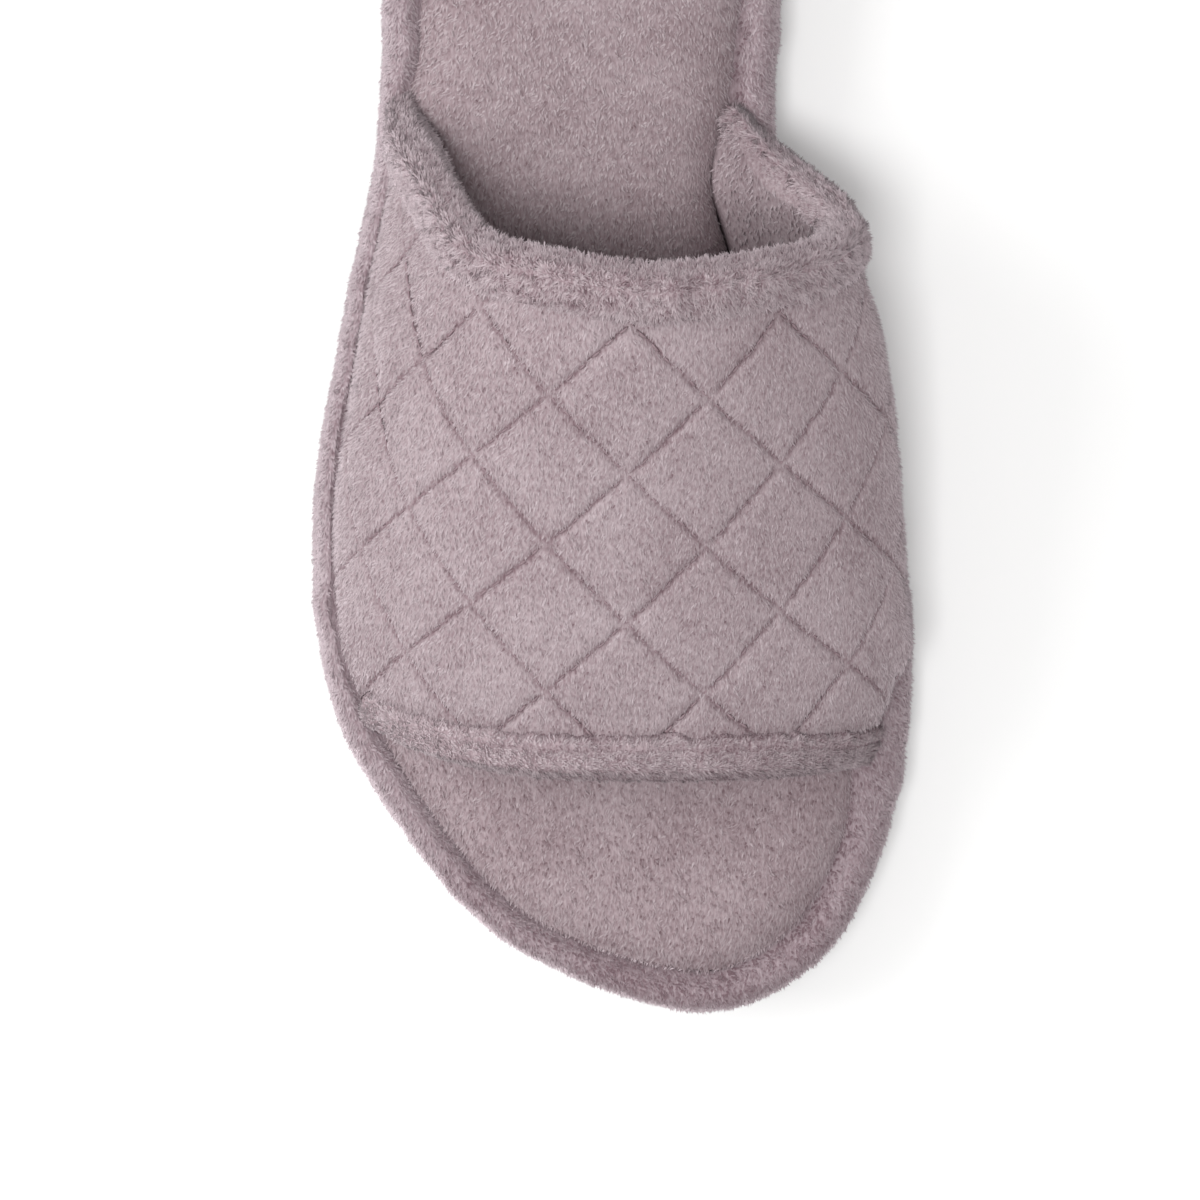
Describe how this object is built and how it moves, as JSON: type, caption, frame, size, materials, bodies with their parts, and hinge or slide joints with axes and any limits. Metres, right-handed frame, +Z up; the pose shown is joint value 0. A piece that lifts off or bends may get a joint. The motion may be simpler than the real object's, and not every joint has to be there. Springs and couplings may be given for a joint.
{
  "type": "slide slipper",
  "caption": "Right-foot slide slipper, open at toe and heel, with a quilted plush vamp, bound edges and a padded footbed on a plush-wrapped platform sole.",
  "frame": {"origin": "on the floor, under the middle of the slipper's length and width", "axes": "+Z up, -Y towards the toe, +Y towards the heel, +X towards the big-toe side"},
  "size_m": [0.1044, 0.256, 0.0789],
  "materials": {
    "outsole_rubber": "matte moulded tread",
    "wrap_plush": "short mauve pile over foam",
    "footbed_plush": "short mauve pile over soft padding",
    "vamp_plush": "short mauve pile, stitched in diamonds",
    "binding_plush": "longer mauve pile, folded over the edge"
  },
  "bodies": {
    "root": {"outsole": "outsole_rubber", "platform": "wrap_plush", "insole": "footbed_plush", "upper": "vamp_plush", "collar_binding": "binding_plush", "toe_binding": "binding_plush"}
  },
  "joints": []
}
